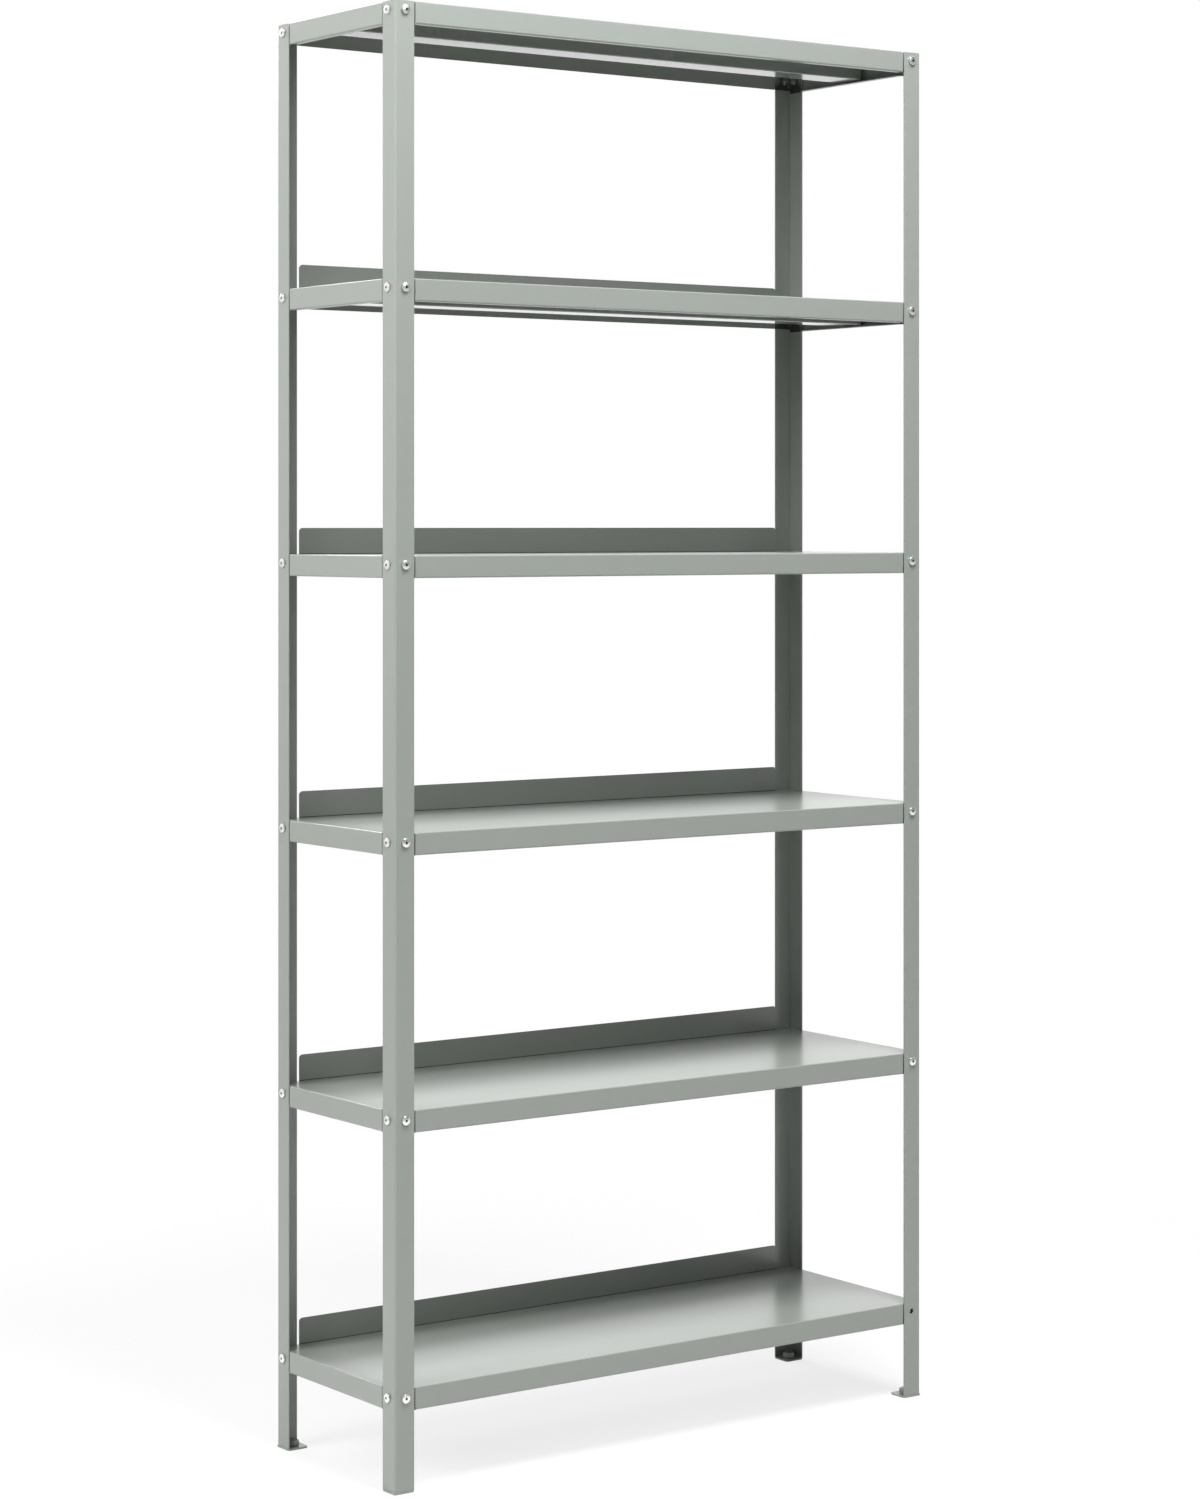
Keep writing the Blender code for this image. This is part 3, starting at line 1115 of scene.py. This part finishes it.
@dataclass
class Fasteners:
    """A round-headed screw and a hexagon nut at each leg of each shelf corner."""

    sizes: FrameSizes
    bright: Finish
    # The nuts' finish, darkened as painted shade.
    dull_shaded: Finish
    shank: float = 0.006
    head: float = 0.012
    head_height: float = 0.0034
    head_rim: float = 0.0022
    head_edge: float = 0.0006
    head_facets: int = 32
    edge_break: float = 0.0002
    socket_across: float = 0.0034
    socket_depth: float = 0.0020
    thread_pitch: float = 0.001
    thread_depth: float = 0.00045
    thread_flank: tuple[float, float] = (0.1, 0.6)  # Root and crest, as shares of the pitch.
    beyond_nut: float = 0.002
    nut_across: float = 0.010
    nut_height: float = 0.005
    nut_chamfer: float = 0.0008
    # Share of painted shade on the head's underside and the shank.
    grime_below_head: float = 0.75
    turn_per_piece: float = 0.7  # Radians.
    empty_hole: tuple[int, str, str] = (6, "front_right", "front")

    def dome(self) -> list[tuple[float, float]]:
        """Give the head's outline from its rim to its crown.

        Returns:
            Radius and height of each point.
        """
        radius, edge = self.head / 2, self.head_edge
        base = self.sizes.seat_gap + self.head_rim
        quarter = [math.pi / 2 * i / 4 for i in range(5)]
        outline = [(radius - edge + edge * math.cos(a), base + edge * math.sin(a)) for a in quarter]
        rim, top = outline.pop(), self.sizes.seat_gap + self.head_height
        reaches = [rim[0] * (1 - i / 6) for i in range(7)]
        return outline + [(r, top - (top - rim[1]) * (r / rim[0]) ** 2) for r in reaches]

    def screw(self) -> bmesh.types.BMesh:
        """Turn a screw and press the socket into its head.

        Returns:
            The screw with its axis along +Z and the leg's outer face at height 0.
        """
        s = self.sizes
        radius = self.shank / 2
        end = -s.grip - self.nut_height - self.beyond_nut
        count = round((self.beyond_nut + self.nut_height) / self.thread_pitch)
        core, (root, crest) = radius - self.thread_depth, self.thread_flank
        profile = [(0.0, end), (core - self.edge_break, end)]
        for turn in range(count):
            height = end + turn * self.thread_pitch
            profile.append((core, height + root * self.thread_pitch))
            profile.append((radius, height + crest * self.thread_pitch))
        profile += [(radius, s.seat_gap), (self.head / 2 - self.edge_break, s.seat_gap)]
        profile += [(self.head / 2, s.seat_gap + self.edge_break)] + self.dome()
        profile[-1] = (0.0, profile[-1][1])
        press = bmesh.new()
        top = s.seat_gap + self.head_height
        reach = self.socket_across / 2 / math.cos(math.pi / 6)
        rod(press, reach, top - self.socket_depth, top + CLEARANCE, 6, Matrix.Identity(4))
        made = cut_with(turned(profile, self.head_facets), press, Cut.TAKE_AWAY)
        # Painted shade: black in the lower half of the socket, and mostly dark on the head's
        # underside and the shank.
        painted_shade = made.verts.layers.float.new(PAINTED_SHADE)
        for vert in made.verts:
            sunk = TINY < vert.co.z < top - self.socket_depth / 2
            if sunk and vert.co.xy.length < reach + TINY:
                vert[painted_shade] = 1.0
            elif vert.co.z < s.seat_gap + TINY:
                vert[painted_shade] = self.grime_below_head
        return made

    def nut(self) -> bmesh.types.BMesh:
        """Make a nut below the steel that it clamps.

        Returns:
            The nut, on the screw's own axis.
        """
        bm = hexagon(self.nut_across, self.nut_height, self.nut_chamfer)
        drop = (0.0, 0.0, -self.sizes.grip - self.nut_height)
        bmesh.ops.translate(bm, verts=bm.verts[:], vec=drop)
        return bm

    def build(self, shop: Workshop) -> None:
        """Make the screws and nuts, each pair turned its own way.

        Args:
            shop: where the pieces are finished.
        """
        screw = pattern("screw", self.screw())
        nut = pattern("nut", self.nut(), HEXAGON_CREASE)
        for number in range(1, self.sizes.shelf_count + 1):
            height = Matrix.Translation((0.0, 0.0, self.sizes.screw_height(number)))
            for corner in Corner:
                for face, leg in zip(corner.leg_faces, self.sizes.legs()):
                    if (number, corner.title, face) == self.empty_hole:
                        continue
                    where = f"{number}_{corner.title}_{face}"
                    turn = Matrix.Rotation(self.turn_per_piece * shop.made, 4, "Z")
                    place = corner.place(self.sizes) @ height @ leg @ turn
                    shop.add(f"screw_{where}", screw, place, self.bright, f"bolt_{where}")
                    shop.add(f"nut_{where}", nut, place, self.dull_shaded, f"bolt_{where}")


# Studio.


@dataclass(frozen=True)
class Softbox:
    """A flat lamp that faces a point of the shelving."""

    title: str
    centre: tuple[float, float, float]
    size: tuple[float, float]
    power: float
    mirrored: bool = True
    aim: tuple[float, float, float] = (0.0, 0.0, 1.0)

    def build(self) -> None:
        """Hang the lamp."""
        lamp = bpy.data.lights.new(self.title, "AREA")
        lamp.shape = "RECTANGLE"
        lamp.size, lamp.size_y = self.size
        lamp.energy = self.power
        box = bpy.data.objects.new(self.title, lamp)
        box.location = self.centre
        towards = Vector(self.aim) - Vector(self.centre)
        box.rotation_euler = towards.to_track_quat("-Z", "Y").to_euler()
        box.visible_camera = False
        box.visible_glossy = self.mirrored
        bpy.context.scene.collection.objects.link(box)


@dataclass(frozen=True)
class PhotoCamera:
    """The photograph's own camera: level, with the view slid down to frame the object."""

    place: tuple[float, float, float] = (-2.889, -3.999, 1.262)
    heading: float = -35.716
    focal_pixels: float = 3499.0
    horizon_pixels: float = 525.0
    image_height: float = 1500.0
    sensor_width: float = 36.0
    nearest: float = 0.1
    furthest: float = 100.0

    def build(self) -> None:
        """Set up the camera."""
        lens = bpy.data.cameras.new("photo_camera")
        lens.sensor_width = self.sensor_width
        lens.lens = self.focal_pixels * lens.sensor_width / self.image_height
        lens.shift_y = (self.horizon_pixels - self.image_height / 2) / self.image_height
        lens.clip_start, lens.clip_end = self.nearest, self.furthest
        camera = bpy.data.objects.new("photo_camera", lens)
        camera.location = self.place
        camera.rotation_euler = (math.radians(90.0), 0.0, math.radians(self.heading))
        bpy.context.scene.collection.objects.link(camera)
        bpy.context.scene.camera = camera


@dataclass
class Studio:
    """Pale floor, white surroundings and soft lamps."""

    ambient: float = 0.04
    room_tone: float = 0.25
    backdrop_rise: tuple[float, float] = (-0.6, 0.1)  # Y of the rays where it begins and is full.
    floor_radius: float = 14.0
    floor_sides: int = 64
    floor_tone: float = 0.60
    fade_from: float = 0.9
    fade_to: float = 2.2
    seen_tone: float = 1.0
    shadow_share: float = 0.2
    floor_mirrored: float = 0.7
    lamps: tuple[Softbox, ...] = (
        Softbox("key_softbox", (-2.0, -1.6, 3.6), (1.6, 1.6), 40.0, mirrored=False),
        Softbox("left_softbox", (-3.4, -0.3, 2.6), (1.6, 1.6), 106.0, mirrored=False),
        Softbox("top_softbox", (0.0, -1.6, 4.2), (1.2, 1.2), 150.0),
        Softbox("rear_softbox", (0.0, 2.8, 2.9), (2.4, 1.6), 52.0),
        Softbox("front_softbox", (0.4, -3.0, 3.2), (1.6, 1.6), 32.0),
    )

    def seen_directly(self, sheet: NodeSheet, mirrored: Number | float = 1.0) -> Number:
        """Pick the rays that see the surroundings as a white backdrop.

        Args:
            sheet: the node sheet of the floor or the world.
            mirrored: how white glossy and transmission rays see it.

        Returns:
            1 for camera rays, that whiteness for the mirrored ones, and 0 for the rest.
        """
        path = sheet.node("ShaderNodeLightPath")
        kinds = ("Camera", "Glossy", "Transmission")
        camera, glossy, through = (sheet.number(path, f"Is {kind} Ray") for kind in kinds)
        reflected = mirrored * glossy.maths("MAXIMUM", glossy, through)
        return camera.maths("MAXIMUM", camera, reflected)

    def surroundings(self) -> None:
        """Make the world white where it is seen, and a plain ambient light elsewhere.

        Gloss sees the white backdrop behind the object and the dimmer room in front of it.
        """
        world = bpy.data.worlds.new("white_surroundings")
        sheet = NodeSheet(world)
        ray = sheet.node("ShaderNodeTexCoord").outputs["Generated"]
        depth = sheet.number(sheet.node("ShaderNodeSeparateXYZ", None, {0: ray}), "Y")
        backdrop = self.room_tone + (1 - self.room_tone) * depth.step(*self.backdrop_rise)
        strength = self.ambient + (1 - self.ambient) * self.seen_directly(sheet, backdrop)
        values = {"Color": (1.0, 1.0, 1.0, 1.0), "Strength": strength}
        light = sheet.node("ShaderNodeBackground", None, values)
        sheet.node("ShaderNodeOutputWorld", None, {"Surface": light.outputs[0]})
        bpy.context.scene.world = world

    def floor_paint(self) -> bpy.types.Material:
        """Mix the floor's paint: matt near the object, and plain white further off.

        Returns:
            The material.
        """
        made = bpy.data.materials.new("pale_floor")
        sheet = NodeSheet(made)
        tone = self.floor_tone + (self.seen_tone - self.floor_tone) * self.seen_directly(sheet)
        matt = sheet.node("ShaderNodeBsdfDiffuse", None, {"Color": tone})
        white = sheet.node("ShaderNodeEmission", None, {"Color": (1.0,) * 4, "Strength": 1.0})
        away = sheet.node("ShaderNodeVectorMath", {"operation": "LENGTH"}, {0: sheet.place()})
        distance = sheet.number(away, "Value").step(self.fade_from, self.fade_to)
        near = self.shadow_share
        share = self.seen_directly(sheet, self.floor_mirrored) * (1 - near + near * distance)
        values = {0: share, 1: matt.outputs[0], 2: white.outputs[0]}
        mixed = sheet.node("ShaderNodeMixShader", None, values)
        sheet.node("ShaderNodeOutputMaterial", None, {"Surface": mixed.outputs[0]})
        return made

    def floor(self) -> None:
        """Lay the floor at the feet. It isn't part of the object."""
        bm = bmesh.new()
        sides, radius = self.floor_sides, self.floor_radius
        bmesh.ops.create_circle(bm, cap_ends=True, segments=sides, radius=radius)
        mesh = bpy.data.meshes.new("studio_floor")
        bm.to_mesh(mesh)
        bm.free()
        mesh.materials.append(self.floor_paint())
        piece = bpy.data.objects.new("studio_floor", mesh)
        bpy.context.scene.collection.objects.link(piece)

    def build(self) -> None:
        """Set up the studio."""
        bpy.context.scene.view_settings.view_transform = "Standard"
        self.surroundings()
        self.floor()
        for lamp in self.lamps:
            lamp.build()
        PhotoCamera().build()


def main() -> None:
    """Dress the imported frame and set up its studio."""
    logging.basicConfig(level=logging.INFO, format="%(name)s: %(message)s")
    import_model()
    shop, sizes = Workshop(), FrameSizes()
    enamel, smooth = CoatedSteel().finish(), SMOOTH_COATED_STEEL.finish()
    Posts(sizes, enamel).build(shop)
    Shelves(sizes, enamel, smooth).build(shop)
    Fasteners(sizes, BRIGHT_ZINC.finish(), DULL_SHADED_ZINC.finish()).build(shop)
    Studio().build()
    LOG.info("%d pieces", shop.made)


if __name__ == "__main__":
    main()
